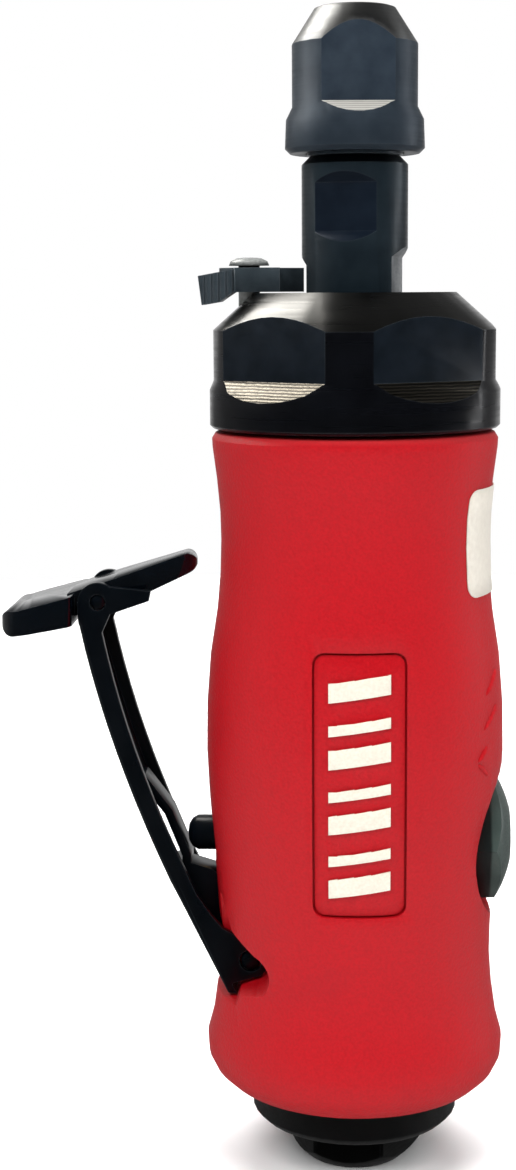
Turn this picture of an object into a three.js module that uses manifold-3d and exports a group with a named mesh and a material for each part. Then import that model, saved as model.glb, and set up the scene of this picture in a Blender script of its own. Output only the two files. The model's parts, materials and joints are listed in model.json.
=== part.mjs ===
// Pneumatic die grinder as an assembly of separate pieces.
// Millimetres. The tool axis is Z, the inlet's end face is z = 0 and the collet points up +Z.
// The throttle lever is on the -X side, the speed regulator on the +X side, the badge on the -Y side.
import * as THREE from "three";
import { mergeVertices } from "three/addons/utils/BufferGeometryUtils.js";
import Module from "manifold-3d";

const wasm = await Module();
wasm.setup();

// ---- driving dimensions ----
const GAP = 0.3; // clearance between neighbouring pieces
const FINE = 56; // facets round a large turned piece
const COARSE = 28; // facets round a small or hidden one
const BEYOND = 30; // reach of a cutting tool past the surface it cuts

const BODY = { bottom: 12, top: 107.3, boreR: 15.5, boreFloor: 57, seatR: 17.4, seatFloor: 98.6 };
const CAP = {
  top: 126.3,
  faceR: 14.2,
  coneZ: 121.2,
  bodyR: 19.9,
  flangeR: 20.45,
  flatApothem: 17.75,
  flatTurn: 34, // the first flat's direction, in degrees from the front
};
const MOTOR = { linerR: 15.2, chamberR: 12.9, offset: 1.1, rotorR: 11.6, bottom: 69, top: 99.6 };
const FRONT_BEARING = { bottom: 108.2, height: 7.8, outerR: 12.9, innerR: 5.2, balls: 8 };
const REAR_BEARING = { bottom: 57.8, height: 5.6, outerR: 9.4, innerR: 3.3, balls: 7 };
const SPINDLE = { r: 7.4, bottom: 117.2, top: 145, threadR: 6.6, end: 157.6, boreR: 4.7 };
const NUT = { bottom: 145.3, top: 165, r: 8.7, flangeR: 9.7, threadR: 6.9, flatApothem: 7.1 };
const SHANK_R = 3.175; // quarter-inch tool shank
const VALVE = { z: 48.3, stemR: 2.55, bushR: 4.0, bushOuterX: -19.6 };
const KNOB = {
  circumR: 9.4,
  innerX: 17.3,
  outerX: 22.9,
  domeR: 17,
  pocketR: 11.4,
  pocketX: 16.2,
};
const LEVER = {
  pivotX: -14.9,
  pivotZ: 31.2,
  pinR: 1.35,
  halfWidth: 7.25,
  sheet: 1.2,
  bendR: 1.1,
  lugHalfWidth: 2.4,
};
const LATCH = {
  pinX: -36.1,
  pinZ: 83.4,
  pinR: 0.95,
  halfWidth: 5.75,
  padHalfWidth: 9.5,
  springR: 1.45,
  springHalf: 1.5,
};
const LOCK = { screwX: -14.8, bottom: 126.45, top: 129.8, reach: 8.2, restTurn: 32 };
const INLET = { hexApothem: 8.6, hexTop: 6.1, faceR: 7.3, mouthR: 6.3, threadR: 8.1, boreR: 5.7, top: 26 };
const RING = { r: 15, bottom: 6.4, slots: 10, slotR: 1.1, slotCircleR: 12.6 };
const BADGE = { centreX: 0.7, bottom: 41.8, top: 78.6, halfWidth: 6.4, cornerR: 1.7, depth: 0.8, bars: 7 };

// ---- materials ----
function finish(color, roughness, metalness) {
  return new THREE.MeshStandardMaterial({ color, roughness, metalness });
}
const RED_COMPOSITE = finish(0xcd262c, 0.6, 0);
const BLACK_OXIDE = finish(0x2a2e33, 0.4, 0.7);
const BLACK_LACQUER = finish(0x15191c, 0.25, 0.2);
const BLACK_PLASTIC = finish(0x1c2122, 0.5, 0);
const STEEL = finish(0xb8babd, 0.3, 1);
const BRASS = finish(0xb08d4a, 0.35, 1);
const RUBBER = finish(0x161616, 0.8, 0);
const FELT = finish(0x8d8a80, 0.95, 0);
const VANE_RESIN = finish(0x6b4a2b, 0.7, 0);
const CREAM = finish(0xefeadc, 0.6, 0);

const grinder = new THREE.Group();

// ---- solids ----
// A closed geometry as a solid that can be joined and cut.
function solid(geometry) {
  const bare = geometry.clone().deleteAttribute("normal").deleteAttribute("uv");
  const merged = mergeVertices(bare, 1e-4);
  return new wasm.Manifold(
    new wasm.Mesh({
      numProp: 3,
      vertProperties: merged.attributes.position.array,
      triVerts: new Uint32Array(merged.index.array),
    }),
  );
}

// A solid's surface as a geometry.
function surface(body) {
  const mesh = body.getMesh();
  const geometry = new THREE.BufferGeometry();
  geometry.setAttribute("position", new THREE.BufferAttribute(new Float32Array(mesh.vertProperties), 3));
  geometry.setIndex(new THREE.BufferAttribute(new Uint32Array(mesh.triVerts), 1));
  geometry.computeVertexNormals();
  return geometry;
}

function cut(body, ...tools) {
  return tools.reduce((rest, tool) => rest.subtract(tool), body);
}

function join(...bodies) {
  return bodies.reduce((all, body) => all.add(body));
}

// Adds one named piece. Its shape is a solid or a closed geometry.
function piece(name, shape, material) {
  const geometry = shape.isBufferGeometry ? shape : surface(shape);
  const mesh = new THREE.Mesh(geometry, material);
  mesh.name = name;
  grinder.add(mesh);
  return mesh;
}

// Turned about Z from [radius, z] points: outside upwards, inside downwards.
// A section that leaves the axis clear closes on itself.
function turned(section, facets = COARSE) {
  const points = section.map(([r, z]) => new THREE.Vector2(r, z));
  if (section[0][0] > 0) points.push(points[0].clone());
  return new THREE.LatheGeometry(points, facets).rotateX(Math.PI / 2);
}

function ring(outerR, innerR, bottom, top, facets = COARSE) {
  return turned([[innerR, bottom], [outerR, bottom], [outerR, top], [innerR, top]], facets);
}

function rod(r, bottom, top, facets = COARSE) {
  return turned([[0, bottom], [r, bottom], [r, top], [0, top]], facets);
}

// The same shapes laid along X: a turned piece's z becomes x.
function alongX(geometry, z) {
  return geometry.rotateY(Math.PI / 2).translate(0, 0, z);
}

// The same shapes laid along Y.
function alongY(geometry, x, z) {
  return geometry.rotateX(-Math.PI / 2).translate(x, 0, z);
}

function box(x0, x1, y0, y1, z0, z1) {
  const geometry = new THREE.BoxGeometry(x1 - x0, y1 - y0, z1 - z0);
  return geometry.translate((x0 + x1) / 2, (y0 + y1) / 2, (z0 + z1) / 2);
}

function outline(points) {
  return new THREE.Shape(points.map(([a, b]) => new THREE.Vector2(a, b)));
}

// A shape drawn in X and Z, extruded along Y from y0 to y1.
function sidePlate(shape, y0, y1) {
  const geometry = new THREE.ExtrudeGeometry(shape, {
    depth: y1 - y0,
    bevelEnabled: false,
    curveSegments: 10,
  });
  return geometry.rotateX(Math.PI / 2).translate(0, y1, 0);
}

// A shape drawn in X and Y, extruded along Z from z0 to z1.
function flatPlate(shape, z0, z1) {
  const options = { depth: z1 - z0, bevelEnabled: false, curveSegments: 8 };
  return new THREE.ExtrudeGeometry(shape, options).translate(0, 0, z0);
}

function roundedRectangle(x0, x1, y0, y1, r) {
  const shape = new THREE.Shape();
  shape.absarc(x1 - r, y1 - r, r, 0, Math.PI / 2);
  shape.absarc(x0 + r, y1 - r, r, Math.PI / 2, Math.PI);
  shape.absarc(x0 + r, y0 + r, r, Math.PI, 1.5 * Math.PI);
  shape.absarc(x1 - r, y0 + r, r, 1.5 * Math.PI, 2 * Math.PI);
  shape.closePath();
  return shape;
}

// A milled flat: a plane cut whose lower end slopes outwards by runOut over its drop.
function milledFlat(apothem, fromFront, bottom, top, runOut, drop) {
  const section = outline([
    [apothem, bottom],
    [apothem + runOut, bottom - drop],
    [apothem + BEYOND, bottom - drop],
    [apothem + BEYOND, top],
    [apothem, top],
  ]);
  const angle = THREE.MathUtils.degToRad(fromFront - 90);
  return solid(sidePlate(section, -BEYOND, BEYOND).rotateZ(angle));
}

// A coil spring about Z.
function coilSpring(coilR, wireR, bottom, top, turns) {
  const steps = turns * 9;
  const points = [];
  for (let i = 0; i <= steps; i++) {
    const angle = (2 * Math.PI * turns * i) / steps;
    const z = bottom + wireR + ((top - bottom - 2 * wireR) * i) / steps;
    points.push(new THREE.Vector3(coilR * Math.cos(angle), coilR * Math.sin(angle), z));
  }
  const wire = new THREE.Shape().absarc(0, 0, wireR, 0, 2 * Math.PI);
  return new THREE.ExtrudeGeometry(wire, {
    steps,
    curveSegments: 3,
    extrudePath: new THREE.CatmullRomCurve3(points),
  });
}

// ---- housing ----
// Outer radius of the grip at its stations up the axis, as [radius, z].
const GRIP_STATIONS = [
  [20.6, 14.2], [21.75, 17.4], [20.6, 22.5], [19.75, 30], [19.85, 37], [20.3, 45], [20.9, 53],
  [21.35, 62], [20.95, 73], [19.5, 83], [19.05, 91], [19.25, 97.5], [20.15, 105],
];

function gripSection(inset) {
  const stations = GRIP_STATIONS.map(([r, z]) => new THREE.Vector2(r - inset, z));
  const spline = new THREE.SplineCurve(stations).getPoints(19);
  return spline.map((point) => [point.x, point.y]);
}

function housingBlank() {
  const { bottom, top, boreR, boreFloor, seatR, seatFloor } = BODY;
  return solid(
    turned(
      [
        [0, VALVE.z],
        [4, VALVE.z],
        [4, 27],
        [8.4, 27],
        [8.4, bottom + 0.6],
        [10.2, bottom + 0.6],
        [10.2, 24],
        [16.8, 24],
        [16.8, bottom],
        [17.3, bottom],
        [18.9, bottom + 0.6],
        ...gripSection(0),
        [20.2, top - 1.2],
        [19.7, top - 0.4],
        [18.9, top],
        [seatR, top],
        [seatR, seatFloor],
        [boreR, seatFloor],
        [boreR, boreFloor],
        [0, boreFloor],
      ],
      FINE,
    ),
  );
}

// The two side pockets that the lever's cheeks swing in, and the clearance in front of the pivot boss.
function leverSlot() {
  const { pivotX, pivotZ } = LEVER;
  const pocket = new THREE.Shape();
  pocket.moveTo(-BEYOND, 25.9);
  pocket.lineTo(-16.9, 25.9);
  pocket.lineTo(-16.2, 27.5);
  pocket.lineTo(-14.2, 28.3);
  pocket.absarc(pivotX, pivotZ, 3.05, -1.2, 1.3);
  pocket.lineTo(-17.4, 36.3);
  pocket.lineTo(-19.3, 41.5);
  pocket.lineTo(-20.8, 48);
  pocket.lineTo(-BEYOND, 48);
  const clearance = outline([
    [-BEYOND, 25.9],
    [-16.6, 25.9],
    [-16.3, 28],
    [-17.0, 31.5],
    [-20.6, 40],
    [-BEYOND, 40],
  ]);
  // The lever's stop lug closes into this groove.
  const groove = outline([
    [-BEYOND, 33.5],
    [-18.6, 33.5],
    [-17.4, 36.2],
    [-17.4, 43],
    [-18.6, 44.2],
    [-BEYOND, 44.6],
  ]);
  const boss = LEVER.halfWidth - LEVER.sheet - GAP;
  const lugClear = LEVER.lugHalfWidth + GAP;
  return join(
    solid(sidePlate(pocket, -BEYOND, -boss)),
    solid(sidePlate(pocket, boss, BEYOND)),
    solid(sidePlate(clearance, -boss - 0.1, boss + 0.1)),
    solid(sidePlate(groove, -lugClear, lugClear)),
  );
}

function badgeOutline(inset) {
  const { centreX, halfWidth, bottom, top, cornerR } = BADGE;
  const half = halfWidth - inset;
  return roundedRectangle(centreX - half, centreX + half, bottom + inset, top - inset, cornerR - inset / 2);
}

// What the badge's recess takes out of the grip: the skin inside the badge's outline.
function badgeRecess() {
  const prism = solid(sidePlate(badgeOutline(0), -BEYOND, 0));
  const core = solid(turned([[0, BADGE.bottom - 5], ...gripSection(BADGE.depth), [0, BADGE.top + 5]], FINE));
  return prism.subtract(core);
}

function addHousing() {
  const exhaustPorts = [-12.5, 12.5].map((y) => {
    return solid(rod(2.2, 23, BODY.boreFloor + 1, 16).translate(0, y, 0));
  });
  const shell = cut(
    housingBlank(),
    solid(alongX(rod(VALVE.bushR + GAP, -BEYOND, 5.8), VALVE.z)),
    solid(alongX(rod(6.3, 5.6, BEYOND), VALVE.z)),
    solid(alongX(rod(KNOB.pocketR, KNOB.pocketX, BEYOND, 48), VALVE.z)),
    solid(rod(2.5, VALVE.z, BODY.boreFloor + 1, 16).translate(11, 0, 0)),
    ...exhaustPorts,
    leverSlot(),
    solid(alongY(rod(LEVER.pinR + GAP, -BEYOND, BEYOND, 20), LEVER.pivotX, LEVER.pivotZ)),
    badgeRecess(),
  );
  piece("housing", shell, RED_COMPOSITE);
}

// A curved plate in the recess with raised slanted bars in place of lettering.
function addBadge() {
  const { depth, centreX, halfWidth, bottom, top, bars } = BADGE;
  const skin = (inner, outer) =>
    solid(turned([[0, 25], ...gripSection(outer), [0, 100]], FINE)).subtract(
      solid(turned([[0, 25], ...gripSection(inner), [0, 100]], FINE)),
    );
  const front = (shape) => solid(sidePlate(shape, -BEYOND, 0));
  const plate = skin(depth - 0.15, depth - 0.35).intersect(front(badgeOutline(0.3)));
  const pitch = (top - bottom - 5) / bars;
  const stripes = [];
  for (let i = 0; i < bars; i++) {
    const z = bottom + 3.4 + i * pitch;
    const half = halfWidth - 2.2;
    const rise = 1.2;
    const thick = i % 2 ? 1.4 : 2.6;
    const bar = outline([
      [centreX - half, z - rise / 2],
      [centreX + half, z + rise / 2],
      [centreX + half, z + rise / 2 + thick],
      [centreX - half, z - rise / 2 + thick],
    ]);
    stripes.push(skin(depth - 0.15, 0.05).intersect(front(bar)));
  }
  piece("badge", join(plate, ...stripes), CREAM);
}

// A thin rating label wrapped on the right side, blank.
function addRatingLabel() {
  const skin = solid(turned([[0, 25], ...gripSection(-0.25), [0, 104]], FINE)).subtract(
    solid(turned([[0, 25], ...gripSection(-0.05), [0, 104]], FINE)),
  );
  const sheet = roundedRectangle(-11.5, 9, 84.6, 99.5, 1.6);
  const prism = new THREE.ExtrudeGeometry(sheet, { depth: BEYOND, bevelEnabled: false, curveSegments: 6 });
  const toSide = new THREE.Matrix4().makeBasis(
    new THREE.Vector3(0, 1, 0),
    new THREE.Vector3(0, 0, 1),
    new THREE.Vector3(1, 0, 0),
  );
  piece("rating_label", skin.intersect(solid(prism.applyMatrix4(toSide))), CREAM);
}

// ---- front end ----
function addFrontCap() {
  const { top, coneZ, faceR, bodyR, flangeR, flatApothem, flatTurn } = CAP;
  const blank = solid(
    turned(
      [
        [13.2, 107.6],
        [15.6, 107.6],
        [15.6, 99],
        [17.1, 99],
        [17.1, 107.6],
        [flangeR - 0.4, 107.6],
        [flangeR, 108],
        [flangeR, 112.9],
        [bodyR, 114.2],
        [bodyR, coneZ],
        [faceR, top],
        [SPINDLE.r + 0.8, top],
        [SPINDLE.r + 0.8, 116.6],
        [13.2, 116.6],
      ],
      FINE,
    ),
  );
  const flats = [];
  for (let i = 0; i < 5; i++) {
    flats.push(milledFlat(flatApothem, flatTurn + i * 72, 114.4, top + 1, 2.8, 2.8));
  }
  const screwHole = solid(rod(1.8, 119, top + 1, 16).translate(LOCK.screwX, 0, 0));
  piece("front_cap", cut(blank, ...flats, screwHole), BLACK_OXIDE);
}

// A spindle lock: a jaw that swings into the spindle's lower flats.
function addSpindleLock() {
  const { screwX, bottom, top, reach, restTurn } = LOCK;
  const hub = solid(rod(4.2, bottom, top, 24));
  const tongue = solid(box(0, reach, -1.25, 1.25, bottom, top).rotateZ(THREE.MathUtils.degToRad(restTurn)));
  const web = solid(box(-3, 3.4, -4.2, 3.4, bottom, top).rotateZ(THREE.MathUtils.degToRad(restTurn / 2)));
  // The thumb end droops past the edge of the cap and is thicker than the hub.
  const thumb = outline([
    [-0.4, bottom],
    [-0.8, top],
    [-6.9, 128.7],
    [-6.4, 124.7],
    [-4, 125.1],
    [-3, 125.8],
    [-2, bottom],
  ]);
  const serrations = [];
  for (let i = 0; i < 5; i++) {
    serrations.push(solid(box(-6.1 + i, -5.8 + i, -5, -4, 120, 132)));
  }
  const thumbPiece = cut(solid(sidePlate(thumb, -4.2, 4.2)), ...serrations);
  const hole = solid(rod(1.8, bottom - 5, top + 1, 16));
  const springRoom = solid(rod(3.2, bottom - 5, bottom + 1.7, 24));
  const lever = cut(join(hub, tongue, web, thumbPiece), hole, springRoom);
  piece("spindle_lock_lever", lever, BLACK_OXIDE).position.set(screwX, 0, 0);

  const screw = join(
    solid(rod(1.5, 119.6, top + 0.5, 16)),
    solid(turned([[0, top + GAP], [2.85, top + GAP], [2.6, 130.7], [1.7, 131.15], [0, 131.3]], 24)),
  );
  const socket = solid(new THREE.CylinderGeometry(1, 1, 2, 6).rotateX(Math.PI / 2).translate(0, 0, 131.4));
  piece("lock_screw", cut(screw, socket), STEEL).position.set(screwX, 0, 0);
  piece("lock_spring", coilSpring(2.45, 0.27, bottom, bottom + 1.4, 2), STEEL).position.set(screwX, 0, 0);
}

// Two races, and the balls joined by their cage.
function ballBearing(name, { bottom, height, outerR, innerR, balls }) {
  const top = bottom + height;
  const middle = bottom + height / 2;
  const pitchR = (outerR + innerR) / 2;
  const wall = (outerR - innerR) / 4.4;
  const ballR = (outerR - innerR) / 2 - wall - GAP;
  piece(name + "_outer_race", ring(outerR, outerR - wall, bottom, top), STEEL);
  piece(name + "_inner_race", ring(innerR + wall, innerR, bottom, top), STEEL);
  let cage = solid(ring(pitchR + 0.3, pitchR - 0.3, middle - 0.8, middle + 0.8));
  for (let i = 0; i < balls; i++) {
    const angle = (2 * Math.PI * i) / balls;
    const ball = new THREE.SphereGeometry(ballR, 6, 4);
    cage = cage.add(solid(ball.translate(pitchR * Math.cos(angle), pitchR * Math.sin(angle), middle)));
  }
  piece(name + "_balls", cage, STEEL);
}

// ---- motor ----
function addMotor() {
  const { linerR, chamberR, offset, rotorR, bottom, top } = MOTOR;
  const chamber = solid(rod(chamberR, bottom - 1, top + 1, 48).translate(offset, 0, 0));
  // A dowel through the rear end plate keeps the liner's ports in line.
  const dowelX = -13.4;
  const dowelHole = solid(rod(1.1, bottom - 4.3, bottom + 5.3, 12).translate(dowelX, 0, 0));
  piece("cylinder_dowel", rod(0.8, bottom - 4, bottom + 5, 12).translate(dowelX, 0, 0), STEEL);
  piece("cylinder_liner", cut(solid(rod(linerR, bottom + GAP, top - GAP, 48)), chamber, dowelHole), STEEL);

  piece(
    "front_end_plate",
    turned([[6.2, top], [linerR, top], [linerR, 103], [11, 103], [11, 107.9], [6.2, 107.9]]),
    BLACK_OXIDE,
  );
  const pocketR = REAR_BEARING.outerR + GAP;
  const rearPlate = turned([
    [pocketR, 57.3],
    [linerR - 2, 57.3],
    [linerR, 59],
    [linerR, bottom],
    [3.6, bottom],
    [3.6, 63.9],
    [pocketR, 63.9],
  ]);
  piece("rear_end_plate", cut(solid(rearPlate), dowelHole), BLACK_OXIDE);

  // The rotor and its shaft are one piece, slotted for the vanes.
  const shaft = turned([
    [0, 57.6],
    [2.9, 57.6],
    [2.9, bottom + 0.6],
    [rotorR, bottom + 0.6],
    [rotorR, top - 0.6],
    [4.9, top - 0.6],
    [4.9, 116.4],
    [4.3, 117],
    [4.3, 131],
    [0, 131],
  ]);
  const slotFloor = 5.9;
  const vanes = 4;
  let rotor = solid(shaft);
  for (let i = 0; i < vanes; i++) {
    const slot = box(slotFloor, rotorR + 2, -0.95, 0.95, bottom, top).rotateZ((i * Math.PI) / 2);
    rotor = rotor.subtract(solid(slot));
    const vaneTip = i === 2 ? rotorR - 0.05 : rotorR + 0.15;
    const vane = box(slotFloor + 0.3, vaneTip, -0.65, 0.65, bottom + 0.8, top - 0.8);
    piece("rotor_vane_" + (i + 1), vane, VANE_RESIN).rotation.z = (i * Math.PI) / 2;
  }
  piece("rotor", rotor, STEEL);
}

// ---- spindle, collet and nut ----
function addSpindle() {
  const { r, bottom, top, threadR, end, boreR } = SPINDLE;
  const blank = solid(
    turned(
      [
        [boreR, bottom],
        [r - 0.4, bottom],
        [r, bottom + 0.4],
        [r, top - 1.2],
        [r - 1.2, top],
        [threadR, top],
        [threadR, end],
        [5.9, end],
        [boreR, end - 3],
      ],
      48,
    ),
  );
  const wrenchFlats = [-12, 168].map((turn) => {
    const section = outline([
      [6, 134.6],
      [7.5, 133.1],
      [BEYOND, 133.1],
      [BEYOND, 142.7],
      [7.5, 142.7],
      [6, 141.2],
    ]);
    return solid(sidePlate(section, -BEYOND, BEYOND).rotateZ(THREE.MathUtils.degToRad(turn - 90)));
  });
  // The lock's flats face opposite ways, and the one behind the thumb lever is shorter.
  const lockFlats = [[79, 131.1], [259, 130.1]].map(([turn, flatTop]) => {
    const section = outline([
      [6, 120],
      [BEYOND, 120],
      [BEYOND, flatTop + 1.5],
      [7.5, flatTop + 1.5],
      [6, flatTop],
    ]);
    return solid(sidePlate(section, -BEYOND, BEYOND).rotateZ(THREE.MathUtils.degToRad(turn - 90)));
  });
  piece("spindle", cut(blank, ...wrenchFlats, ...lockFlats), BLACK_OXIDE);
}

function addCollet() {
  const blank = solid(
    turned([
      [SHANK_R, 137],
      [4.4, 137],
      [4.4, 155],
      [5.6, 157.9],
      [6.3, 158.4],
      [6.3, 160.2],
      [3.95, 164.6],
      [SHANK_R, 164.6],
    ]),
  );
  const saws = [0, 60, 120].map((turn) => {
    const blade = box(-BEYOND, BEYOND, -0.3, 0.3, 144, 170);
    return solid(blade.rotateZ(THREE.MathUtils.degToRad(turn)));
  });
  piece("collet", cut(blank, ...saws), STEEL);
}

function addColletNut() {
  const { bottom, top, r, flangeR, threadR, flatApothem } = NUT;
  const blank = solid(
    turned(
      [
        [threadR, bottom],
        [flangeR - 0.7, bottom],
        [flangeR, bottom + 0.7],
        [flangeR - 0.15, 149.9],
        [r, 151.6],
        [r, 160],
        [5.6, top - 0.2],
        [5, top],
        [4.3, top],
        [6.7, 160.5],
        [threadR, 159.5],
      ],
      48,
    ),
  );
  const flats = [3.8, 183.8].map((turn) => milledFlat(flatApothem, turn, 151.9, top + 1, 3.5, 2.45));
  piece("collet_nut", cut(blank, ...flats), BLACK_OXIDE);
}

// ---- throttle lever and safety latch ----
// The lever's outer edge from its tip to its ear. shift moves it inwards for the sheet's other face.
function leverEdge(shape, shift) {
  shape.moveTo(-18.3 + shift, 26.4);
  shape.lineTo(-26.5 + shift, 42.8);
  shape.quadraticCurveTo(-35.3 + shift, 62.2, -38.9 + shift, 80);
}

// Everything inside the channel's outer bends, which have the radius bendR.
function insideBends() {
  const { halfWidth, bendR } = LEVER;
  const inside = new THREE.Shape();
  leverEdge(inside, 0);
  inside.lineTo(-42, 84);
  inside.lineTo(-42, 95);
  inside.lineTo(0, 95);
  inside.lineTo(0, 18);
  inside.lineTo(-14.1, 18);
  inside.closePath();
  const depth = 2 * (halfWidth - bendR);
  const geometry = new THREE.ExtrudeGeometry(inside, {
    depth,
    bevelThickness: bendR,
    bevelSize: bendR,
    bevelOffset: -bendR,
    bevelSegments: 3,
    curveSegments: 10,
  });
  return solid(geometry.rotateX(Math.PI / 2).translate(0, depth / 2, 0));
}

function addThrottleLever() {
  const { pivotX, pivotZ, halfWidth, sheet, pinR, lugHalfWidth } = LEVER;
  const cheek = new THREE.Shape();
  leverEdge(cheek, 0);
  cheek.lineTo(-39, 83.4);
  cheek.absarc(LATCH.pinX, LATCH.pinZ, 2.8, Math.PI, 0.9, true);
  cheek.lineTo(-28.6, 85);
  cheek.lineTo(-28.9, 83.6);
  cheek.lineTo(-34.4, 81.7);
  cheek.lineTo(-35.6, 79);
  cheek.quadraticCurveTo(-32.2, 62, -24.5, 45.2);
  cheek.lineTo(-22.6, 41);
  cheek.lineTo(-20.6, 38);
  cheek.lineTo(-18.9, 35.9);
  cheek.absarc(pivotX, pivotZ, 2.6, 1.5, -1, true);
  cheek.lineTo(-17.4, 27.9);

  const webHeight = 79.4;
  const inward = sheet + 0.1;
  const web = new THREE.Shape();
  leverEdge(web, 0);
  web.lineTo(-38.9 + inward, 80);
  web.quadraticCurveTo(-35.3 + inward, 62.2, -26.5 + inward, 42.8);
  web.lineTo(-18.3 + inward, 26.4);

  const bridge = outline([
    [-31.9, 57.4],
    [-30.3, 57.4],
    [-26.4, 52.2],
    [-23.75, 45.6],
    [-23.75, 41.2],
    [-25.2, 41.2],
    [-25, 45.3],
    [-27.5, 51.6],
  ]);
  const lug = outline([
    [-25.7, 43.9],
    [-24.2, 44.4],
    [-20.6, 43.3],
    [-19.3, 42.2],
    [-18.7, 37.2],
    [-20.2, 35.2],
    [-22.5, 37.2],
  ]);
  // The web is open under the bridge that bears on the valve stem, out to the far cheek's root.
  const window = outline([
    [-32.2, 53.5],
    [-29.6, 53.5],
    [-25.2, 43.4],
    [-28.2, 43.4],
  ]);
  const pinHole = solid(alongY(rod(pinR + GAP, -BEYOND, BEYOND, 20), pivotX, pivotZ));
  const latchHole = solid(alongY(rod(LATCH.pinR + 0.2, -BEYOND, BEYOND, 16), LATCH.pinX, LATCH.pinZ));
  const above = solid(box(-BEYOND - 15, -36, -halfWidth + sheet, halfWidth - sheet, webHeight, 90));
  const channel = cut(
    join(
      solid(sidePlate(cheek, -halfWidth, -halfWidth + sheet)),
      solid(sidePlate(cheek, halfWidth - sheet, halfWidth)),
      solid(sidePlate(web, -halfWidth + 0.01, halfWidth - 0.01)),
    ),
    above,
    solid(sidePlate(window, -2.9, halfWidth + 1)),
  );
  const pads = [bridge, lug].map((shape) => solid(sidePlate(shape, -lugHalfWidth, lugHalfWidth)));
  const lever = cut(join(channel, ...pads).intersect(insideBends()), pinHole, latchHole);
  piece("throttle_lever", lever, BLACK_LACQUER);

  const pin = rod(pinR, -halfWidth + 0.1, halfWidth - 0.1, 20);
  piece("lever_pivot_pin", alongY(pin, pivotX, pivotZ), BLACK_OXIDE);
}

function addSafetyLatch() {
  const { pinX, pinZ, pinR, halfWidth, padHalfWidth, springR, springHalf } = LATCH;
  const padSide = new THREE.Shape();
  padSide.moveTo(-39.6, 80.3);
  padSide.lineTo(-39.6, 84.5);
  padSide.lineTo(-47.9, 82.3);
  padSide.absarc(-48.3, 80.5, 1.8, 1.82, 4.87);
  const padPlan = roundedRectangle(-50.1, -39.6, -padHalfWidth, padHalfWidth, 1);
  const nose = roundedRectangle(-50.1, -30, -padHalfWidth, padHalfWidth, 5);
  const pad = solid(sidePlate(padSide, -padHalfWidth, padHalfWidth))
    .intersect(solid(flatPlate(padPlan, 70, 95)))
    .intersect(solid(flatPlate(nose, 70, 95)));

  const bladeSide = new THREE.Shape();
  bladeSide.moveTo(-40.6, 81.2);
  bladeSide.lineTo(-38.2, 81.5);
  bladeSide.lineTo(-36.1, 81);
  bladeSide.lineTo(-34, 82.2);
  bladeSide.lineTo(-29, 84.5);
  bladeSide.absarc(-23.85, 88.35, 1.4, -1.1, 1.88);
  bladeSide.lineTo(-34.1, 86.5);
  bladeSide.lineTo(-40.6, 84.4);
  const bladePlan = new THREE.Shape();
  bladePlan.moveTo(-41, -halfWidth);
  bladePlan.lineTo(-34, -halfWidth);
  bladePlan.lineTo(-26.05, -3.6);
  bladePlan.absarc(-26.05, 0, 3.6, -Math.PI / 2, Math.PI / 2);
  bladePlan.lineTo(-34, halfWidth);
  bladePlan.lineTo(-41, halfWidth);
  const bladeSlab = solid(sidePlate(bladeSide, -halfWidth, halfWidth));
  const blade = bladeSlab.intersect(solid(flatPlate(bladePlan, 70, 95)));
  const hole = solid(alongY(rod(pinR + 0.2, -BEYOND, BEYOND, 16), pinX, pinZ));
  // The return spring's room, open below.
  const room = solid(alongY(rod(springR + 0.5, -springHalf - GAP, springHalf + GAP, 24), pinX, pinZ));
  const mouth = solid(box(pinX - 1.4, pinX + 1.4, -springHalf - GAP, springHalf + GAP, pinZ - 5, pinZ));
  piece("safety_latch", cut(join(pad, blade), hole, room, mouth), BLACK_LACQUER);

  const reach = LEVER.halfWidth + 0.1;
  piece("latch_pin", alongY(rod(pinR, -reach, reach, 16), pinX, pinZ), BLACK_OXIDE);
  piece("latch_spring", alongY(coilSpring(springR, 0.22, -springHalf, springHalf, 4), pinX, pinZ), STEEL);
}

// ---- throttle valve ----
function addThrottleValve() {
  const { z, stemR, bushR, bushOuterX } = VALVE;
  // The stem runs from its domed tip to the sealing head.
  const stem = turned([
    [0, -24.3],
    [1.3, -24.1],
    [2.1, -23.6],
    [stemR, -22.8],
    [stemR, -9],
    [1.2, -8.4],
    [1.2, -3.6],
    [3.3, -3.4],
    [3.3, -2.2],
    [0, -2.2],
  ], 24);
  piece("throttle_plunger", alongX(stem, z), BLACK_LACQUER);
  piece("valve_bush", alongX(ring(bushR, stemR + GAP, bushOuterX, -9.6, 24), z), BRASS);
  piece("valve_seat", alongX(ring(bushR, 2.6, -6.4, -3.7, 24), z), BRASS);
  piece("valve_seal", alongX(ring(bushR - 0.1, stemR + GAP, -9.2, -6.8, 24), z), RUBBER);
  piece("valve_spring", alongX(coilSpring(2.3, 0.4, 1.2, 5.4, 3), z), STEEL);
}

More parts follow.
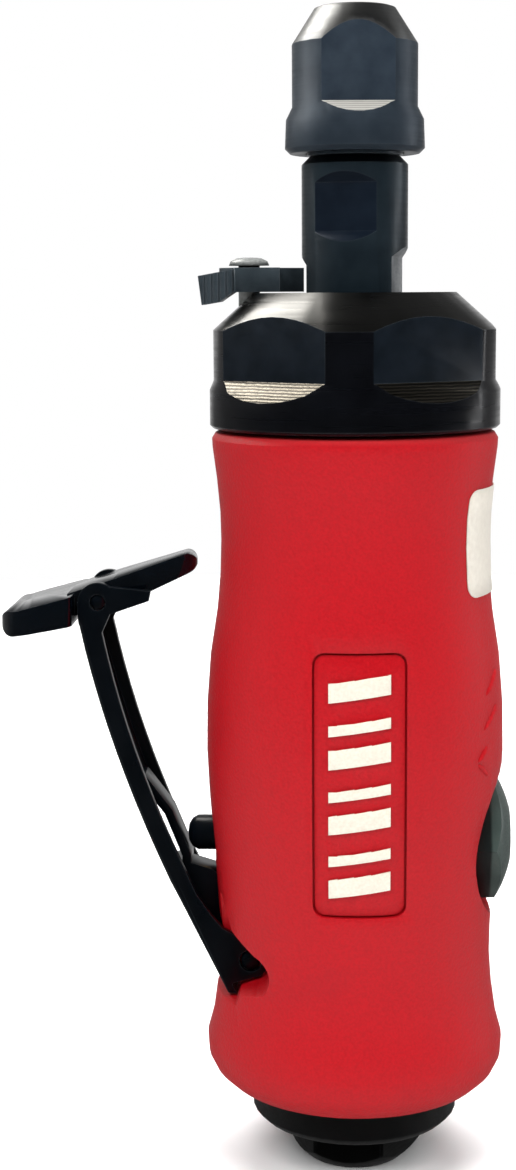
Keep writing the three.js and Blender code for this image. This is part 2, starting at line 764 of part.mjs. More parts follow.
// ---- regulator ----
function addRegulator() {
  const { circumR, innerX, outerX, domeR } = KNOB;
  const hex = new THREE.CylinderGeometry(circumR, circumR, outerX - innerX, 6);
  hex.rotateX(Math.PI / 2).translate(0, 0, (outerX + innerX) / 2);
  // The outer face is domed.
  const reach = circumR + 1;
  const domeSection = [[0, innerX - 1], [reach, innerX - 1]];
  const domeSteps = 10;
  for (let i = domeSteps; i >= 0; i--) {
    const r = (reach * i) / domeSteps;
    domeSection.push([r, outerX - domeR + Math.sqrt(domeR ** 2 - r ** 2)]);
  }
  const dish = turned(
    [
      [0, outerX - 0.9],
      [4, outerX - 0.9],
      [4.6, outerX + 1],
      [0, outerX + 1],
    ],
    24,
  );
  const arrow = box(-0.7, 0.7, 3, 8.4, outerX - 1.6, outerX + 1);
  const stem = rod(3.4, 8, innerX + 0.5, 24);
  const collar = rod(5.9, 12.2, innerX - 1.4, 32);
  const grip = cut(solid(hex).intersect(solid(turned(domeSection, 48))), solid(dish), solid(arrow));
  const knob = cut(join(grip, solid(stem), solid(collar)), sidePort());
  piece("regulator_knob", alongX(surface(knob), VALVE.z), BLACK_PLASTIC);
  piece("regulator_seal", alongX(ring(6, 3.7, innerX - 1.1, innerX - GAP, 24), VALVE.z), RUBBER);
  piece("regulator_sleeve", alongX(ring(6, 3.7, 6, 11.9, 24), VALVE.z), BRASS);
}

// The flow slot across the regulator's stem.
function sidePort() {
  return solid(box(-4, 0.4, -1.2, 1.2, 8.6, 11));
}

// ---- inlet and exhaust ----
function addInlet() {
  const { hexApothem, hexTop, faceR, mouthR, threadR, boreR, top } = INLET;
  const hexR = hexApothem / Math.cos(Math.PI / 6);
  const hex = new THREE.CylinderGeometry(hexR, hexR, hexTop, 6);
  hex.rotateX(Math.PI / 2).rotateZ(THREE.MathUtils.degToRad(-36)).translate(0, 0, hexTop / 2);
  // A cone takes the corners off the end face.
  const corners = turned(
    [
      [0, 0],
      [faceR, 0],
      [hexR - 0.1, 2.4],
      [hexR - 0.1, hexTop + 1],
      [0, hexTop + 1],
    ],
    36,
  );
  const thread = rod(threadR, hexTop - 0.5, top);
  const bore = turned([
    [0, -1],
    [mouthR, -1],
    [mouthR, 0.3],
    [boreR, 1],
    [boreR, 15],
    [3.5, 18],
    [3.5, top + 1],
    [0, top + 1],
  ]);
  const bushing = join(solid(hex).intersect(solid(corners)), solid(thread));
  piece("inlet_bushing", cut(bushing, solid(bore)), BLACK_OXIDE);

  const pitch = 1.7;
  const meshHalf = 0.6;
  const meshes = [];
  for (const x of [-pitch, 0, pitch]) {
    for (const y of [-pitch, 0, pitch]) {
      meshes.push(solid(box(x - meshHalf, x + meshHalf, y - meshHalf, y + meshHalf, top, top + 1)));
    }
  }
  piece("inlet_screen", cut(solid(rod(3.9, top + 0.2, top + 0.7, 24)), ...meshes), STEEL);
}

function addExhaust() {
  const { r, bottom, slots, slotR, slotCircleR } = RING;
  const blank = solid(
    turned(
      [
        [8.5, bottom],
        [r - 1.1, bottom],
        [r, bottom + 1.1],
        [r, 12.1],
        [16.4, 12.1],
        [16.4, 14],
        [10.5, 14],
        [10.5, 12.2],
        [8.5, 12.2],
      ],
      40,
    ),
  );
  const ports = [];
  for (let i = 0; i < slots; i++) {
    const angle = (2 * Math.PI * (i + 0.5)) / slots;
    const port = rod(slotR, bottom - 1, 15, 8);
    ports.push(solid(port.translate(slotCircleR * Math.cos(angle), slotCircleR * Math.sin(angle), 0)));
  }
  piece("exhaust_ring", cut(blank, ...ports), BLACK_PLASTIC);
  piece("muffler_felt", ring(16.4, 10.6, 14.4, 22.8), FELT);
}

addHousing();
addBadge();
addRatingLabel();
addFrontCap();
addSpindleLock();
ballBearing("front_bearing", FRONT_BEARING);
ballBearing("rear_bearing", REAR_BEARING);
addMotor();
addSpindle();
addCollet();
addColletNut();
addThrottleLever();
addSafetyLatch();
addThrottleValve();
addRegulator();
addInlet();
addExhaust();

export default grinder;
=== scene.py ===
# Studio scene of the die grinder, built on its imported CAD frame.
# Metres, +Z up the tool's axis, the badge faces -Y, the throttle lever is on the -X side.
import json
import math

import bmesh
import bpy
from mathutils import Matrix, Vector


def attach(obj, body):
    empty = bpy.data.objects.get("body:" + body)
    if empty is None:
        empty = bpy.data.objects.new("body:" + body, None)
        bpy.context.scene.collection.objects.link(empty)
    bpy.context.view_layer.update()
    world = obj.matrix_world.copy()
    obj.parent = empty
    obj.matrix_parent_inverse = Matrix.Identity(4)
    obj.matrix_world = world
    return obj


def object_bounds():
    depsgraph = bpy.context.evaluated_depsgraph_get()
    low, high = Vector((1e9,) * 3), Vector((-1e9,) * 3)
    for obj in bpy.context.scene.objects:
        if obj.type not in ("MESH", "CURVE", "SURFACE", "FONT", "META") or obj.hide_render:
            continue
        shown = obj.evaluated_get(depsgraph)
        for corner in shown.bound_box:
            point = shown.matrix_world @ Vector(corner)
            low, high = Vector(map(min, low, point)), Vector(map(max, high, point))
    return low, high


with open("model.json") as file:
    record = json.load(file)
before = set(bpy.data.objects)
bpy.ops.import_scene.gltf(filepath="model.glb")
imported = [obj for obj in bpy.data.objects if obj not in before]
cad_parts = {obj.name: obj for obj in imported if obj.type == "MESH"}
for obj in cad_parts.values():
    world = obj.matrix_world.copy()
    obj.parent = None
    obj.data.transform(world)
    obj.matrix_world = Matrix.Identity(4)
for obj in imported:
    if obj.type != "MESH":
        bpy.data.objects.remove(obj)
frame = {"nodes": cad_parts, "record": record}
NODES = frame["nodes"]
CAD_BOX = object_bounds()
MM = 0.001

GRIP_TOP = 107.3 * MM  # height of the grip's upper rim
# Above the next two heights the upward-facing cones get a painted sheen.
CAP_CONE = 119 * MM  # a height between the front cap's flange and its cone
NUT_CONE = 156 * MM  # a height between the collet nut's flange and its cone
KNOB_LIT_FROM = 19.2 * MM  # where along X the regulator's knob leaves its pocket: beyond it a painted highlight, within it a painted shade
GRIP_INSIDE = 18.8 * MM  # radius under which the housing's points belong to its bores
GRIP_BACK = 15 * MM  # beyond this Y the housing's points are all on its plain back or in its bores
BADGE_SUNK = 0.33 * MM  # the badge's ground lies further under the grip's surface than this, its bars less
EYE = (0, -0.277, 0.1263)  # the camera's place


# ---- node helpers ----
class Paint:
    """One procedural material. Texture coordinates are the piece's own, in metres."""

    def __init__(self, name, **fixed):
        self.material = bpy.data.materials.new(name)
        self.material.use_nodes = True
        self.tree = self.material.node_tree
        self.shader = self.tree.nodes["Principled BSDF"]
        for socket, value in fixed.items():
            self.shader.inputs[socket.replace("_", " ")].default_value = value
        self.place = self.node("ShaderNodeTexCoord").outputs["Object"]

    def node(self, kind, inputs=None, **settings):
        made = self.tree.nodes.new(kind)
        for key, value in settings.items():
            setattr(made, key, value)
        for key, value in (inputs or {}).items():
            self.join(made.inputs[key], value)
        return made

    def join(self, socket, value):
        if isinstance(value, bpy.types.NodeSocket):
            self.tree.links.new(value, socket)
        else:
            socket.default_value = value

    def set(self, socket, value):
        self.join(self.shader.inputs[socket], value)

    def stretched(self, x, y, z):
        """The place scaled along each axis, for grain that runs one way."""
        return self.node("ShaderNodeMapping", {"Vector": self.place, "Scale": (x, y, z)}).outputs["Vector"]

    def noise(self, size, detail=3.0, place=None):
        """Noise from 0 to 1 whose blotches are about size metres across."""
        inputs = {"Vector": place or self.place, "Scale": 1 / size, "Detail": detail}
        return self.node("ShaderNodeTexNoise", inputs).outputs["Fac"]

    def cells(self, size):
        inputs = {"Vector": self.place, "Scale": 1 / size}
        return self.node("ShaderNodeTexVoronoi", inputs, feature="SMOOTH_F1").outputs["Distance"]

    def spread(self, value, low, high, out_low=0.0, out_high=1.0):
        """value's span low..high mapped to out_low..out_high, and held there beyond it."""
        inputs = {"Value": value, "From Min": low, "From Max": high, "To Min": out_low, "To Max": out_high}
        return self.node("ShaderNodeMapRange", inputs, clamp=True).outputs["Result"]

    def math(self, operation, a, b=0):
        made = self.node("ShaderNodeMath", operation=operation)
        self.join(made.inputs[0], a)
        self.join(made.inputs[1], b)
        return made.outputs["Value"]

    def blend(self, factor, a, b):
        # The node's sockets share their names, so the two colours and the result go by number.
        made = self.node("ShaderNodeMix", data_type="RGBA")
        self.join(made.inputs["Factor"], factor)
        self.join(made.inputs[6], a)
        self.join(made.inputs[7], b)
        return made.outputs[2]

    def bump(self, height, distance, strength=1.0):
        inputs = {"Height": height, "Distance": distance, "Strength": strength}
        return self.node("ShaderNodeBump", inputs).outputs["Normal"]

    def axis(self, letter):
        """One coordinate of the place."""
        return self.node("ShaderNodeSeparateXYZ", {"Vector": self.place}).outputs[letter]

    def facing(self, letter):
        """One component of the surface's own direction, before any bump."""
        geometry = self.node("ShaderNodeNewGeometry").outputs["Normal"]
        return self.node("ShaderNodeSeparateXYZ", {"Vector": geometry}).outputs[letter]

    def edges(self, radius):
        """1 on sharp edges and 0 elsewhere, from how far a bevel of this radius turns the surface."""
        bevel = self.node("ShaderNodeBevel", {"Radius": radius}, samples=4).outputs["Normal"]
        plain = self.node("ShaderNodeNewGeometry").outputs["Normal"]
        dot = self.node("ShaderNodeVectorMath", operation="DOT_PRODUCT")
        self.join(dot.inputs[0], bevel)
        self.join(dot.inputs[1], plain)
        return self.spread(dot.outputs["Value"], 0.9, 0.999, 1.0, 0.0)


def rgb(r, g, b):
    """An sRGB colour of 0..255 as linear RGBA."""
    linear = [((c / 255 + 0.055) / 1.055) ** 2.4 if c > 10 else c / 255 / 12.92 for c in (r, g, b)]
    return (*linear, 1.0)


WORN_EDGE = rgb(110, 116, 122)  # black finish worn through


# ---- materials ----
def red_composite():
    """The grip's red: a fine grain, darker blotches and a lighter band just below its upper rim."""
    paint = Paint("red_composite", Roughness=0.55, Specular_IOR_Level=0.22)
    fine = paint.noise(0.35 * MM, 2.0)
    grain = paint.cells(0.42 * MM)
    broad = paint.noise(16 * MM, 4.0)
    base = paint.blend(paint.spread(fine, 0.35, 0.65), rgb(154, 9, 19), rgb(168, 13, 23))
    base = paint.blend(paint.spread(broad, 0.62, 0.8, 0, 0.35), base, rgb(132, 22, 31))
    rim = paint.spread(paint.axis("Z"), GRIP_TOP - 1.3 * MM, GRIP_TOP - 0.3 * MM, 0, 0.35)
    base = paint.blend(rim, base, rgb(206, 70, 72))
    paint.set("Base Color", base)
    paint.set("Roughness", paint.spread(fine, 0.3, 0.7, 0.48, 0.64))
    height = paint.math("ADD", paint.math("MULTIPLY", grain, 0.7), paint.math("MULTIPLY", fine, 0.5))
    paint.set("Normal", paint.bump(height, 0.09 * MM, 0.7))
    return paint.material


def turned_black(name, dark, light, sheen_colour, roughness, lines, sheen_from=0):
    """Turned metal with a black finish: fine rings round the axis and worn edges.

    Cones that face upwards above the height given last get a painted sheen: a lighter colour and full
    metallic.
    """
    paint = Paint(name, Anisotropic=0.5, Anisotropic_Rotation=0.25, Specular_IOR_Level=0.3)
    around = paint.node("ShaderNodeTangent", direction_type="RADIAL", axis="Z")
    paint.set("Tangent", around.outputs["Tangent"])
    rings = paint.noise(lines, 3.0, paint.stretched(0.02, 0.02, 1))
    blotch = paint.noise(5 * MM, 3.0)
    # Painted sheen: a lighter, fully metallic colour on the upward-facing cones above the given height.
    above = paint.spread(paint.axis("Z"), sheen_from - 0.5 * MM, sheen_from)
    cone = paint.math("MULTIPLY", paint.spread(paint.facing("Z"), 0.25, 0.5), above)
    base = paint.blend(paint.spread(blotch, 0.35, 0.7), dark, light)
    base = paint.blend(cone, base, sheen_colour)
    base = paint.blend(paint.math("MULTIPLY", paint.edges(0.2 * MM), 0.45), base, WORN_EDGE)
    paint.set("Base Color", base)
    paint.set("Metallic", paint.spread(cone, 0, 1, 0.4, 1))
    paint.set("Roughness", paint.spread(rings, 0.3, 0.7, roughness - 0.05, roughness + 0.06))
    paint.set("Normal", paint.bump(rings, 0.01 * MM, 0.12))
    return paint.material


def milled_black(name, dark, light, roughness):
    """The same finish on a milled flat, with faint cutter marks."""
    paint = Paint(name, Metallic=0.4, Specular_IOR_Level=0.3)
    marks = paint.noise(0.4 * MM, 2.0, paint.stretched(0.2, 0.2, 1))
    blotch = paint.noise(3 * MM, 4.0)
    base = paint.blend(paint.spread(blotch, 0.3, 0.75), dark, light)
    base = paint.blend(paint.math("MULTIPLY", paint.edges(0.2 * MM), 0.45), base, WORN_EDGE)
    paint.set("Base Color", base)
    paint.set("Roughness", paint.spread(marks, 0.3, 0.7, roughness - 0.04, roughness + 0.08))
    paint.set("Normal", paint.bump(marks, 0.01 * MM, 0.15))
    return paint.material


def milled_bright(name, dark, light, metallic, roughness, pitch):
    """A run-out where the cutter broke through the finish: level lines a pitch apart."""
    paint = Paint(name, Metallic=metallic)
    wobble = paint.math("MULTIPLY", paint.noise(2 * MM, 2.0), 0.5 * pitch)
    height = paint.math("ADD", paint.axis("Z"), wobble)
    wave = paint.math("SINE", paint.math("MULTIPLY", height, 2 * math.pi / pitch))
    paint.set("Base Color", paint.blend(paint.spread(wave, -0.8, 0.8), dark, light))
    fine = paint.noise(0.5 * MM)
    paint.set("Roughness", paint.spread(fine, 0.3, 0.7, roughness - 0.05, roughness + 0.08))
    paint.set("Normal", paint.bump(wave, 0.03 * MM, 0.4))
    return paint.material


def gloss_black(name, coat, roughness):
    """Black paint with a slight orange peel, lighter along its edges."""
    paint = Paint(name, Coat_Weight=coat, Coat_Roughness=0.1, Specular_IOR_Level=0.22)
    peel = paint.noise(1.6 * MM, 2.0)
    broad = paint.noise(7 * MM, 3.0)
    base = paint.blend(paint.spread(broad, 0.4, 0.75), rgb(2, 5, 9), rgb(6, 10, 15))
    base = paint.blend(paint.math("MULTIPLY", paint.edges(0.15 * MM), 0.3), base, rgb(70, 76, 80))
    paint.set("Base Color", base)
    paint.set("Roughness", paint.spread(broad, 0.3, 0.7, roughness - 0.03, roughness + 0.07))
    paint.set("Normal", paint.bump(peel, 0.02 * MM, 0.06))
    return paint.material


def moulded_black():
    """Black plastic, painted a lighter grey-green where it stands out of the regulator's pocket (a painted
    highlight) and darker inside the pocket (a painted shade).
    """
    paint = Paint("black_plastic", Roughness=0.4)
    fine = paint.noise(0.3 * MM, 2.0)
    broad = paint.noise(6 * MM, 3.0)
    # Painted light and shade: the knob's part inside the pocket gets the darker colour, the part standing
    # out the lighter grey-green.
    outer = paint.spread(paint.axis("X"), KNOB_LIT_FROM, KNOB_LIT_FROM + 0.4 * MM)
    side = paint.blend(paint.spread(broad, 0.35, 0.7), rgb(16, 20, 20), rgb(24, 29, 28))
    knob_lit_grey = paint.blend(paint.spread(broad, 0.35, 0.7), rgb(44, 55, 52), rgb(58, 69, 65))
    paint.set("Base Color", paint.blend(outer, side, knob_lit_grey))
    paint.set("Roughness", paint.spread(fine, 0.3, 0.7, 0.33, 0.46))
    paint.set("Normal", paint.bump(fine, 0.04 * MM, 0.3))
    return paint.material


def plain_metal(name, dark, light, roughness, grain):
    """Bare metal with level lines of a grain's height."""
    paint = Paint(name, Metallic=1.0)
    lines = paint.noise(grain, 3.0, paint.stretched(0.1, 0.1, 1))
    paint.set("Base Color", paint.blend(paint.spread(lines, 0.3, 0.7), dark, light))
    paint.set("Roughness", paint.spread(lines, 0.3, 0.7, roughness - 0.05, roughness + 0.08))
    paint.set("Normal", paint.bump(lines, 0.01 * MM, 0.3))
    return paint.material


def dull(name, dark, light, roughness, size, relief):
    """A matt surface with a fine, even texture."""
    paint = Paint(name)
    fine = paint.noise(size, 4.0)
    paint.set("Base Color", paint.blend(paint.spread(fine, 0.3, 0.7), dark, light))
    paint.set("Roughness", paint.spread(fine, 0.3, 0.7, roughness - 0.05, roughness + 0.06))
    paint.set("Normal", paint.bump(fine, relief, 0.5))
    return paint.material


RED = red_composite()
CREAM = dull("badge_cream", rgb(202, 195, 180), rgb(214, 208, 194), 0.5, 0.4 * MM, 0.03 * MM)
LABEL = dull("label_white", rgb(198, 191, 180), rgb(208, 202, 191), 0.42, 0.8 * MM, 0.01 * MM)
# The third colour of each turned finish is a painted sheen, laid on its upward-facing cones.
ANODISED = turned_black(
    "black_anodised", rgb(6, 7, 11), rgb(11, 13, 18), rgb(66, 66, 65), 0.3, 0.5 * MM, CAP_CONE
)
ANODISED_MILLED = milled_black("black_anodised_milled", rgb(13, 20, 27), rgb(24, 31, 39), 0.36)
ANODISED_INLET = milled_black("black_anodised_inlet", rgb(1, 1, 1), rgb(4, 4, 4), 0.5)
OXIDE = turned_black("black_oxide", rgb(24, 34, 41), rgb(34, 45, 52), rgb(60, 66, 70), 0.4, 0.35 * MM)
OXIDE_MILLED = milled_black("black_oxide_milled", rgb(15, 24, 36), rgb(24, 34, 46), 0.42)
NUT = turned_black(
    "nut_oxide", rgb(40, 49, 58), rgb(52, 61, 70), rgb(118, 119, 119), 0.48, 0.35 * MM, NUT_CONE
)
NUT_MILLED = milled_black("nut_oxide_milled", rgb(42, 52, 63), rgb(56, 66, 77), 0.42)
# The flats for the lock lever are painted light grey: a painted highlight for their lit facet.
LOCK_FLAT_HIGHLIGHT = milled_black("lock_flat_highlight", rgb(104, 108, 112), rgb(136, 140, 143), 0.4)
# The nut's ledges are bare metal where the cutter broke through, and their light grey is also a painted
# highlight for the bright crescent they show.
NUT_LEDGE_BARE_AND_LIT = milled_bright("nut_ledge_bare_and_lit", rgb(150, 148, 142), rgb(188, 186, 180), 0.3, 0.4, 0.3 * MM)
CAP_LEDGE = milled_bright("cap_ledge", rgb(40, 38, 34), rgb(82, 78, 70), 1.0, 0.34, 0.4 * MM)
PRESSED = milled_black("black_oxide_pressed", rgb(49, 58, 64), rgb(69, 78, 84), 0.45)
LACQUER = gloss_black("black_lacquer", 0.3, 0.18)
SATIN = gloss_black("black_lacquer_satin", 0.0, 0.3)
PLASTIC = moulded_black()
STEEL = plain_metal("bright_steel", rgb(150, 153, 155), rgb(178, 180, 182), 0.34, 0.3 * MM)
GROUND = plain_metal("ground_steel", rgb(160, 162, 165), rgb(188, 190, 192), 0.36, 0.15 * MM)
BRASS = plain_metal("brass", rgb(176, 140, 78), rgb(198, 162, 96), 0.3, 0.3 * MM)
MOULDING = dull("black_moulding", rgb(3, 3, 4), rgb(8, 8, 9), 0.5, 0.4 * MM, 0.02 * MM)
ZINC = dull("zinc_plate", rgb(104, 106, 105), rgb(132, 134, 132), 0.42, 0.4 * MM, 0.02 * MM)
RUBBER = dull("black_rubber", rgb(18, 18, 19), rgb(30, 30, 31), 0.75, 0.4 * MM, 0.03 * MM)
RESIN = dull("vane_resin", rgb(96, 66, 40), rgb(124, 88, 54), 0.6, 0.5 * MM, 0.02 * MM)
FELT = dull("felt", rgb(150, 147, 138), rgb(190, 187, 176), 0.95, 0.25 * MM, 0.2 * MM)

# ---- the CAD nodes' finishes ----
# The finish of each material slot.
FINISH = {
    "red_composite": RED,
    "badge_cream": CREAM,
    "label_white": LABEL,
    "black_anodised": ANODISED,
    "black_oxide": OXIDE,
    "black_lacquer": LACQUER,
    "black_plastic": PLASTIC,
    "black_rubber": RUBBER,
    "bright_steel": STEEL,
    "ground_steel": GROUND,
    "brass": BRASS,
    "vane_resin": RESIN,
    "felt": FELT,
}


def smooth(mesh):
    for polygon in mesh.polygons:
        polygon.use_smooth = True


def dress(obj, material, bevel):
    """Gives a CAD node its material, soft edges and smooth shading. bevel is its edge radius."""
    obj.data.materials.clear()
    obj.data.materials.append(material)
    smooth(obj.data)
    weld = obj.modifiers.new("weld", "WELD")
    weld.merge_threshold = 0.002 * MM
    if bevel:
        edge = obj.modifiers.new("edge", "BEVEL")
        edge.width = bevel
        edge.segments = 2
        edge.limit_method = "ANGLE"
        edge.angle_limit = math.radians(28)
        edge.harden_normals = True


# Edge radii. The other pieces have sharp edges.
BEVEL = {
    "housing": 0.2 * MM,
    "front_cap": 0.15 * MM,
    "collet_nut": 0.15 * MM,
    "spindle": 0.1 * MM,
    "throttle_lever": 0.18 * MM,
    "safety_latch": 0.5 * MM,
    "spindle_lock_lever": 0.15 * MM,
    "regulator_knob": 0.5 * MM,
    "inlet_bushing": 0.15 * MM,
    "exhaust_ring": 0.15 * MM,
    "badge": 0.08 * MM,
}

# Pieces whose finish differs from the rest of their slot.
OWN_FINISH = {
    "collet_nut": NUT,
    "spindle_lock_lever": PRESSED,
    "throttle_lever": SATIN,
    "throttle_plunger": SATIN,
    "lever_pivot_pin": SATIN,
    "latch_pin": SATIN,
    "lock_screw": ZINC,
    "inlet_bushing": ANODISED_INLET,
    "exhaust_ring": MOULDING,
}

for row in frame["record"]["subparts"]:
    name = row["node"]
    dress(NODES[name], OWN_FINISH.get(name, FINISH[row["material_slot"]]), BEVEL.get(name, 0))


def milled_faces(node, flat_finish, ledge_finish, turns, apothem, ledges):
    """Gives a turned node's milled flats one finish, and the ledges they run out on another.

    turns lists the flats' directions in degrees from the front, apothem is their distance from the axis,
    and ledges lists the heights where a ledge leans outwards from its flat.
    """
    mesh = NODES[node].data
    first = len(mesh.materials)
    mesh.materials.append(flat_finish)
    mesh.materials.append(ledge_finish)
    near = 0.05 * MM
    for turn in turns:
        flat = Vector((math.sin(math.radians(turn)), -math.cos(math.radians(turn)), 0))
        corners = [flat * apothem + Vector((0, 0, z)) for z in ledges]
        for polygon in mesh.polygons:
            lean = polygon.normal.dot(flat)
            if lean > 0.999 and abs(polygon.center.dot(flat) - apothem) < near:
                polygon.material_index = first
            elif 0.4 < lean < 0.9 and abs(polygon.normal.cross(flat).z) < 0.002:
                if any(abs(polygon.normal.dot(polygon.center - corner)) < near for corner in corners):
                    polygon.material_index = first + 1


milled_faces(
    "front_cap",
    ANODISED_MILLED,
    CAP_LEDGE,
    turns=[34 + 72 * i for i in range(5)],
    apothem=17.75 * MM,
    ledges=[114.4 * MM],
)
# The nut's ledges: bare metal, and a painted highlight.
milled_faces(
    "collet_nut",
    NUT_MILLED,
    NUT_LEDGE_BARE_AND_LIT,
    turns=[3.8, 183.8],
    apothem=7.1 * MM,
    ledges=[151.9 * MM],
)
# The wrench flats, and below them the flats for the lock lever.
milled_faces(
    "spindle",
    OXIDE_MILLED,
    OXIDE_MILLED,
    turns=[-12, 168],
    apothem=6 * MM,
    ledges=[134.6 * MM, 141.2 * MM],
)
# Painted highlight: the flats for the lock lever get a light grey.
milled_faces(
    "spindle",
    LOCK_FLAT_HIGHLIGHT,
    LOCK_FLAT_HIGHLIGHT,
    turns=[79, 259],
    apothem=6 * MM,
    ledges=[131.1 * MM, 130.1 * MM],
)


def grip_profile():
    """The grip's outer radius as (z, r) pairs, read off the plain back of the housing."""
    rings = {}
    for vertex in NODES["housing"].data.vertices:
        x, y, z = vertex.co
        r = math.hypot(x, y)
        if y > GRIP_BACK and r > GRIP_INSIDE:
            rings[round(z / MM, 2)] = r
    return sorted((z * MM, r) for z, r in rings.items())


def radius_at(profile, z):
    """The grip's outer radius at the height z."""
    for (z0, r0), (z1, r1) in zip(profile, profile[1:]):
        if z0 <= z <= z1:
            return r0 + (r1 - r0) * (z - z0) / (z1 - z0)
    return profile[-1][1]


def paint_badge():
    """The badge's ground is the grip's red; only its raised bars are cream."""
    badge = NODES["badge"]
    badge.data.materials.append(RED)
    profile = grip_profile()
    for polygon in badge.data.polygons:
        x, y, z = polygon.center
        sunk = radius_at(profile, z) - math.hypot(x, y)
        polygon.material_index = 0 if sunk < BADGE_SUNK else 1


paint_badge()


# ---- details that ride on the CAD bodies ----
def detail(name, bm, material, body, slot):
    """A new mesh piece that rides on a CAD body."""
    mesh = bpy.data.meshes.new(name)
    bmesh.ops.recalc_face_normals(bm, faces=bm.faces)
    bm.to_mesh(mesh)
    bm.free()
    smooth(mesh)
    mesh.materials.append(material)
    piece = bpy.data.objects.new(name, mesh)
    bpy.context.scene.collection.objects.link(piece)
    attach(piece, body)


def grip_ticks():
    """Four raised strokes moulded in the grip above the regulator: two slanted bars over a chevron."""
    profile = grip_profile()
    bm = bmesh.new()
    steps = 10
    # Each stroke's lower and upper end: its height, and its direction in degrees from the front.
    strokes = ((59.3, 62, 61.8, 53.5), (61.8, 53.5, 64, 60), (66, 57, 69.4, 70), (70.7, 60, 74.3, 72))
    for z_low, turn_low, z_high, turn_high in strokes:
        rows = []
        for i in range(steps + 1):
            t = i / steps
            z = (z_low + (z_high - z_low) * t) * MM
            turn = math.radians(turn_low + (turn_high - turn_low) * t)
            # 1 along the middle, down to 0 at both ends, which sink into the grip.
            taper = min(1, 4 * t, 4 * (1 - t)) ** 0.5
            row = []
            # The stroke's cross-section: across it, and how far it stands out of the grip.
            for across, height in ((-0.8, -0.3), (-0.5, 0.2), (0, 0.42), (0.5, 0.2), (0.8, -0.3)):
                r = radius_at(profile, z) + (height * taper - 0.2 * (1 - taper)) * MM
                angle = turn + across * MM * max(taper, 0.15) / r
                row.append(bm.verts.new((r * math.sin(angle), -r * math.cos(angle), z)))
            rows.append(row)
        for low, high in zip(rows, rows[1:]):
            for j in range(len(low)):
                k = (j + 1) % len(low)
                bm.faces.new((low[j], low[k], high[k], high[j]))
        bm.faces.new(rows[0])
        bm.faces.new(rows[-1])
    detail("grip_ticks", bm, RED, "housing", "red_composite")


def inlet_thread():
    """The crests of the inlet's thread, as closed rings that stand inwards from its bore."""
    radius = 5.7 * MM
    depth = 0.5 * MM
    buried = 0.1 * MM
    pitch = 1.4 * MM
    bottom = pitch
    top = 14 * MM
    around = 64
    bm = bmesh.new()
    for n in range(int((top - bottom) / pitch)):
        z = bottom + n * pitch
        section = ((radius + buried, z), (radius - depth, z + 0.5 * pitch), (radius + buried, z + pitch))
        loops = []
        for r, height in section:
            angles = [2 * math.pi * i / around for i in range(around)]
            loops.append([bm.verts.new((r * math.cos(a), r * math.sin(a), height)) for a in angles])
        for low, high in zip(loops, loops[1:] + loops[:1]):
            for i in range(around):
                k = (i + 1) % around
                bm.faces.new((low[i], low[k], high[k], high[i]))
    detail("inlet_thread", bm, OXIDE_MILLED, "housing", "black_oxide")


grip_ticks()
inlet_thread()


# ---- floor, lights and camera ----
def studio_floor():
    """A round pale floor, small enough to be well lit where its far edge meets the white sky."""
    mesh = bpy.data.meshes.new("floor")
    disc = bmesh.new()
    bmesh.ops.create_circle(disc, cap_ends=True, segments=96, radius=0.6)
    disc.to_mesh(mesh)
    disc.free()
    floor = bpy.data.objects.new("floor", mesh)
    bpy.context.scene.collection.objects.link(floor)
    floor.location.z = CAD_BOX[0][2] - 0.05 * MM
    paint = Paint("floor", Roughness=0.9)
    paint.set("Base Color", paint.blend(paint.noise(0.3, 2.0), rgb(246, 246, 246), rgb(252, 252, 252)))
    mesh.materials.append(paint.material)
    # Left out of reflections, so that it puts no grey veil on black gloss.
    floor.visible_glossy = False


def area_light(name, place, target, size, power, color=(1, 1, 1), matt=True, mirrored=True):
    """A rectangular lamp at place, aimed at target.

    matt and mirrored say whether it lights matt surfaces and shows in glossy ones.
    """
    data = bpy.data.lights.new(name, "AREA")
    data.shape = "RECTANGLE"
    data.size, data.size_y = size
    data.energy = power
    data.color = color
    light = bpy.data.objects.new(name, data)
    light.location = place
    light.visible_diffuse = matt
    light.visible_glossy = mirrored
    light.rotation_euler = (Vector(target) - Vector(place)).to_track_quat("-Z", "Y").to_euler()
    bpy.context.scene.collection.objects.link(light)


studio_floor()
# Front and overhead lights for the red grip and the floor, kept out of black gloss.
area_light("key", (-0.45, -0.75, 0.95), (0, 0, 0.08), (0.5, 0.5), 11.8, mirrored=False)
area_light("fill", (0.5, -0.7, 0.9), (0, 0, 0.08), (0.5, 0.5), 8.0, mirrored=False)
area_light("overhead", (0, 0.3, 1.1), (0, 0.1, 0), (1.0, 1.0), 22.0, mirrored=False)
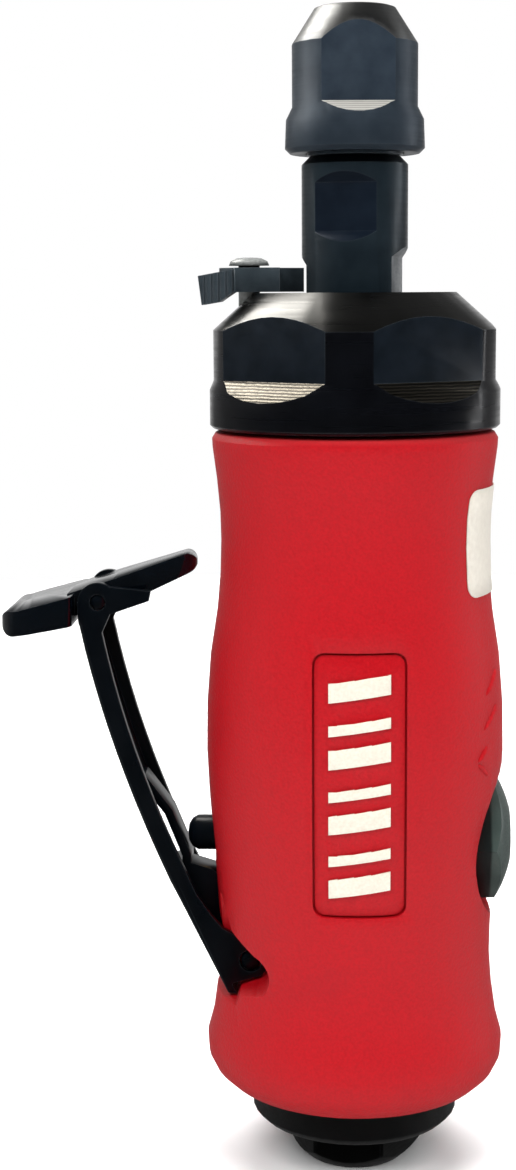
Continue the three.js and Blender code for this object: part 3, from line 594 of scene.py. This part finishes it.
# A window up behind the object on the left, mirrored in the cones, ledges and latch.
WARM = (1.0, 0.97, 0.92)
area_light("window", (-0.52, 0.28, 0.8), (0, 0, 0.12), (0.45, 0.5), 14.0, WARM, matt=False)
area_light("rim", (0.8, 0.3, 0.25), (0, 0, 0.1), (0.15, 0.7), 1.4)


def studio_sky():
    """White to the camera. The object sees it dim in front, so that gloss stays black, and bright behind."""
    world = bpy.data.worlds.new("studio")
    world.use_nodes = True
    tree = world.node_tree
    way = tree.nodes.new("ShaderNodeTexCoord").outputs["Generated"]
    parts = tree.nodes.new("ShaderNodeSeparateXYZ")
    tree.links.new(way, parts.inputs["Vector"])
    backwards = tree.nodes.new("ShaderNodeMapRange")
    backwards.inputs["From Min"].default_value = -1
    tree.links.new(parts.outputs["Y"], backwards.inputs["Value"])
    ramp = tree.nodes.new("ShaderNodeValToRGB")
    stops = ramp.color_ramp.elements
    for at, grey in ((0.35, 0.07), (0.55, 0.2), (0.92, 0.2), (0.98, 0.9)):
        stops.new(at).color = (grey, grey, grey, 1)
    # The two stops that a new ramp comes with.
    stops.remove(stops[-1])
    stops.remove(stops[0])
    tree.links.new(backwards.outputs["Result"], ramp.inputs["Fac"])
    seen = tree.nodes.new("ShaderNodeLightPath").outputs["Is Camera Ray"]
    level = tree.nodes.new("ShaderNodeMapRange")
    tree.links.new(ramp.outputs["Color"], level.inputs["To Min"])
    tree.links.new(seen, level.inputs["Value"])
    background = tree.nodes["Background"]
    background.inputs["Color"].default_value = (1, 1, 1, 1)
    tree.links.new(level.outputs["Result"], background.inputs["Strength"])
    bpy.context.scene.world = world


studio_sky()

PITCH = math.radians(8.5)
YAW = math.radians(2.86)
ROLL = math.radians(-0.38)
camera = bpy.data.objects.new("camera", bpy.data.cameras.new("camera"))
bpy.context.scene.collection.objects.link(camera)
camera.data.lens = 60.1
camera.data.clip_start = 0.01
camera.matrix_world = (
    Matrix.Translation(EYE)
    @ Matrix.Rotation(YAW, 4, "Z")
    @ Matrix.Rotation(math.pi / 2 - PITCH, 4, "X")
    @ Matrix.Rotation(ROLL, 4, "Z")
)
bpy.context.scene.camera = camera
bpy.context.scene.view_settings.view_transform = "Standard"
